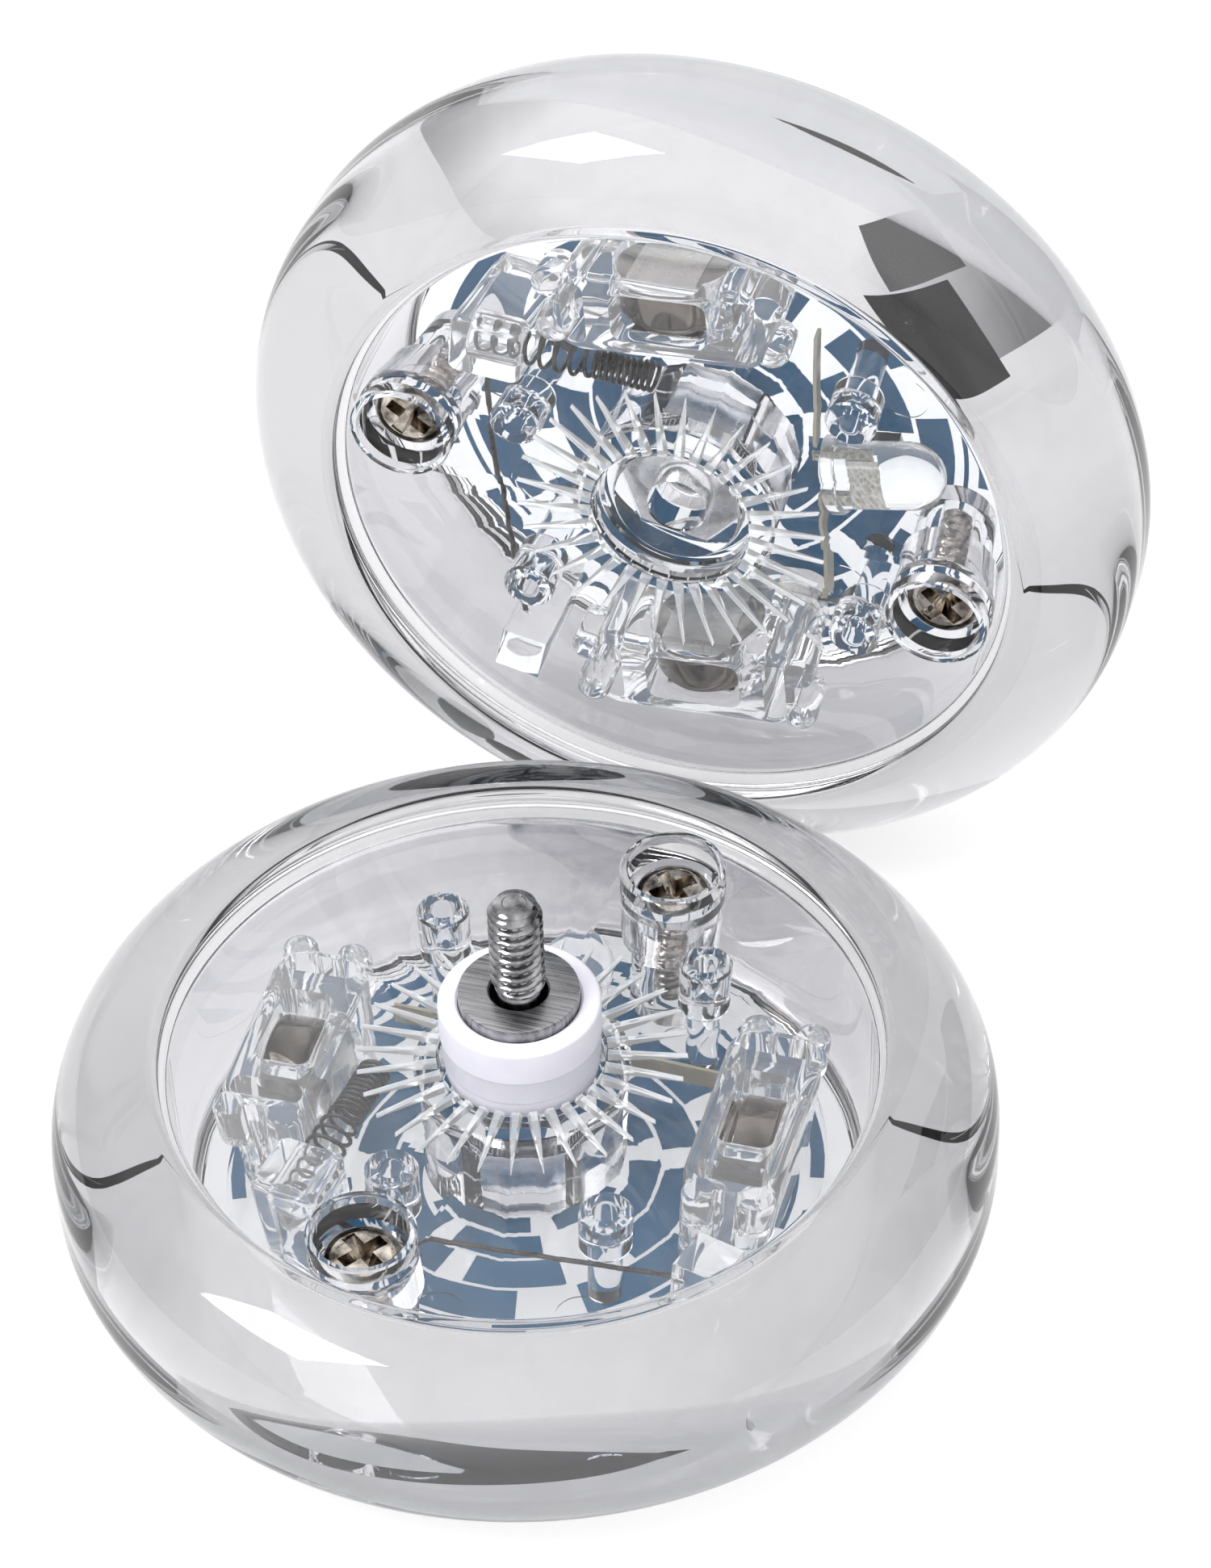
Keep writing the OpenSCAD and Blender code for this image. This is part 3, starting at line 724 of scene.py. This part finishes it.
in_both_halves("screws", screws, SCREW_NICKEL_GRAIN_AND_GLINTS, body="half")

# %% Nut
nut = carve(prism(hexagon * (4.57 / 4.64), 5.0, 8.94),
            cut=[lathe([(2.0, 4.9), (1.8, 5.3), (1.8, 8.6), (2.1, 9.1)], 48)], bevel=0.15)
in_both_halves("nut", nut, NUT_PLATING, body="half")

# %% [markdown]
# ## Axle, sleeve and bearing ring
#
# The threaded rod stands up through a ground steel sleeve. A white plastic
# ring rides on the sleeve, and the string loops round it.

# %% Axle parts
ROD_Z0, THREAD_Z0, ROD_Z1, ROD_PITCH = 5.05, 20.0, 27.25, 0.794
rod_rings = np.concatenate([
    circles([(1.3, ROD_Z0), (1.5, ROD_Z0 + 0.35), (1.5, 19.75), (1.42, THREAD_Z0 - 0.1)]),
    threaded(1.75, 1.36, ROD_PITCH, THREAD_Z0, ROD_Z1 - 0.28, per_pitch=14),
    circles([(1.42, ROD_Z1 - 0.2), (1.25, ROD_Z1 - 0.05), (1.1, ROD_Z1), (0.8, ROD_Z1),
             (0.74, ROD_Z1 - 0.06), (0.3, ROD_Z1 - 0.06)])])
rod = stack(rod_rings)


def on_axle(part, shape, material, body):
    """Places an axle piece, which the lower half carries."""
    finish_piece(f"{part}_look", in_row(shape[0], "lower"), shape[1], material, body, [part])


on_axle("axle_rod", rod, ROD_ZINC, "lower_half")
SLEEVE_R, SLEEVE_Z1 = 3.9, 19.7
sleeve_profile = [(1.95, SEAT_Z + 0.02), (1.88, SEAT_Z + 0.1), (1.88, SLEEVE_Z1 - 0.12),
                  (2.0, SLEEVE_Z1), (3.7, SLEEVE_Z1), (3.86, SLEEVE_Z1 - 0.06),
                  (SLEEVE_R, SLEEVE_Z1 - 0.22), (SLEEVE_R, SEAT_Z + 0.2), (3.7, SEAT_Z + 0.02)]
on_axle("axle_sleeve", lathe(sleeve_profile[::-1], 128, wrap=True), SLEEVE_STEEL, "sleeve")
RING_Z0 = 13.1
ring_profile = np.concatenate([
    [(3.95, RING_Z0 + 0.1), (4.05, RING_Z0), (4.7, RING_Z0)], arc(4.75, RING_Z0 + 0.2, 0.2, -90, 0, 5),
    [(4.95, 14.3), (5.06, 14.42), (5.08, 14.5)], [(5.08, 16.15), (5.12, 16.25), (5.2, 16.35)],
    arc(4.9, 18.6, 0.3, 0, 90, 8), [(4.1, 18.9), (3.95, 18.78)]])
on_axle("bearing_ring", lathe(ring_profile[::-1], 128, wrap=True), WHITE_ACETAL, "bearing")

# %% [markdown]
# ## Pieces kept from the CAD model
#
# Flat contacts are already the right shape, so they only get a finish.

# %% Finishes on the kept pieces
for half in HALF_PLACES:
    for part, material in (("battery_contacts", CONTACT_STEEL), ("contact_strip_a", CREAM_TIN),
                           ("contact_strip_b", CREAM_TIN), ("led_frame", LEAD_FRAME)):
        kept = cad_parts[f"{half}_{part}"]
        kept.data.materials.clear()
        kept.data.materials.append(material)

# %% [markdown]
# ## The studio
#
# Clear things show their surroundings. The floor is a light table, glowing
# softly from below, which keeps clear plastic bright and the ground free of
# shadows. A dome gives light from above, a little greyer at the horizon.
# A black and a grey card behind it put the dark patch in the standing rim.

# %% Floor, dome and cards
def card(name, corners, material):
    """A flat studio card from four corners in metres."""
    mesh = bpy.data.meshes.new(name)
    mesh.from_pydata([tuple(c) for c in corners], [], [(0, 1, 2, 3)])
    mesh.materials.append(material)
    thing = bpy.data.objects.new(name, mesh)
    SCENE.collection.objects.link(thing)
    return thing


FLOOR_PAINT = finish("light_table", Roughness=0.9, Base_Color=(0.35, 0.35, 0.35, 1),
                     Emission_Color=(1, 1, 1, 1), Emission_Strength=0.72)[0]
card("floor", [(-4, -4, -0.0002), (4, -4, -0.0002), (4, 4, -0.0002), (-4, 4, -0.0002)], FLOOR_PAINT)
BLACK_CARD = finish("black_card", Roughness=0.8, Specular_IOR_Level=0.0,
                    Base_Color=(0.002, 0.002, 0.002, 1))[0]
GREY_CARD = finish("grey_card", Roughness=0.8, Specular_IOR_Level=0.0,
                   Base_Color=(0.1, 0.1, 0.1, 1))[0]


def standing_card(name, azimuths, heights, distance, material):
    """A card on a ring round the object, between two azimuths in degrees."""
    a0, a1 = np.radians(azimuths)
    x, y = distance * np.cos([a0, a1]) + 0.015, distance * np.sin([a0, a1]) + 0.04
    z0, z1 = heights
    return card(name, [(x[0], y[0], z0), (x[1], y[1], z0), (x[1], y[1], z1), (x[0], y[0], z1)], material)


standing_card("card_back_right", (41, 66), (0.02, 0.145), 0.25, BLACK_CARD)
standing_card("card_high_right", (33, 58), (0.15, 0.26), 0.25, GREY_CARD)

world = bpy.data.worlds.new("dome")
world.use_nodes = True
SCENE.world = world
wt = world.node_tree
sky = wt.nodes["Background"]
direction = wt.nodes.new("ShaderNodeTexCoord")
split = wt.nodes.new("ShaderNodeSeparateXYZ")
wt.links.new(direction.outputs["Generated"], split.inputs["Vector"])


def grey_ramp(value, start, start_grey, end, end_grey):
    """A grey that runs from one level to another as the value grows."""
    ramp = wt.nodes.new("ShaderNodeMapRange")
    for key, number in zip(("From Min", "To Min", "From Max", "To Max"), (start, start_grey, end, end_grey)):
        ramp.inputs[key].default_value = number
    wt.links.new(value, ramp.inputs["Value"])
    return ramp.outputs["Result"]


def joined(kind, a, b=None):
    """One step of arithmetic on the dome's brightness."""
    step = wt.nodes.new("ShaderNodeMath")
    step.operation = kind
    wt.links.new(a, step.inputs[0])
    if b is not None:
        wt.links.new(b, step.inputs[1])
    return step.outputs["Value"]


# How far a direction points to the left or right side: |direction . side|.
to_side = wt.nodes.new("ShaderNodeVectorMath")
to_side.operation = "DOT_PRODUCT"
to_side.inputs[1].default_value = (0.956, 0.293, 0.0)
wt.links.new(direction.outputs["Generated"], to_side.inputs[0])
sideways = joined("ABSOLUTE", to_side.outputs["Value"])
level = joined("MULTIPLY", grey_ramp(split.outputs["Z"], 0.0, 0.75, 0.3, 1.0),
               grey_ramp(sideways, 0.6, 1.0, 0.97, 0.3))
wt.links.new(level, sky.inputs["Color"])
sky.inputs["Strength"].default_value = 1.4


def lamp(name, at, aim, size, power):
    """A soft square lamp aimed at a point."""
    data = bpy.data.lights.new(name, "AREA")
    data.size, data.energy = size, power
    thing = bpy.data.objects.new(name, data)
    away = np.array(at) - np.array(aim)
    away = away / np.linalg.norm(away)
    side = np.cross((0, 0, 1.0), away)
    side /= np.linalg.norm(side)
    place = np.eye(4)
    place[:3, :3] = np.stack([side, np.cross(away, side), away], 1)
    place[:3, 3] = at
    thing.matrix_world = Matrix(place.tolist())
    SCENE.collection.objects.link(thing)


lamp("key", (-0.35, -0.25, 0.55), (0, 0.02, 0.01), 0.3, 2.2)
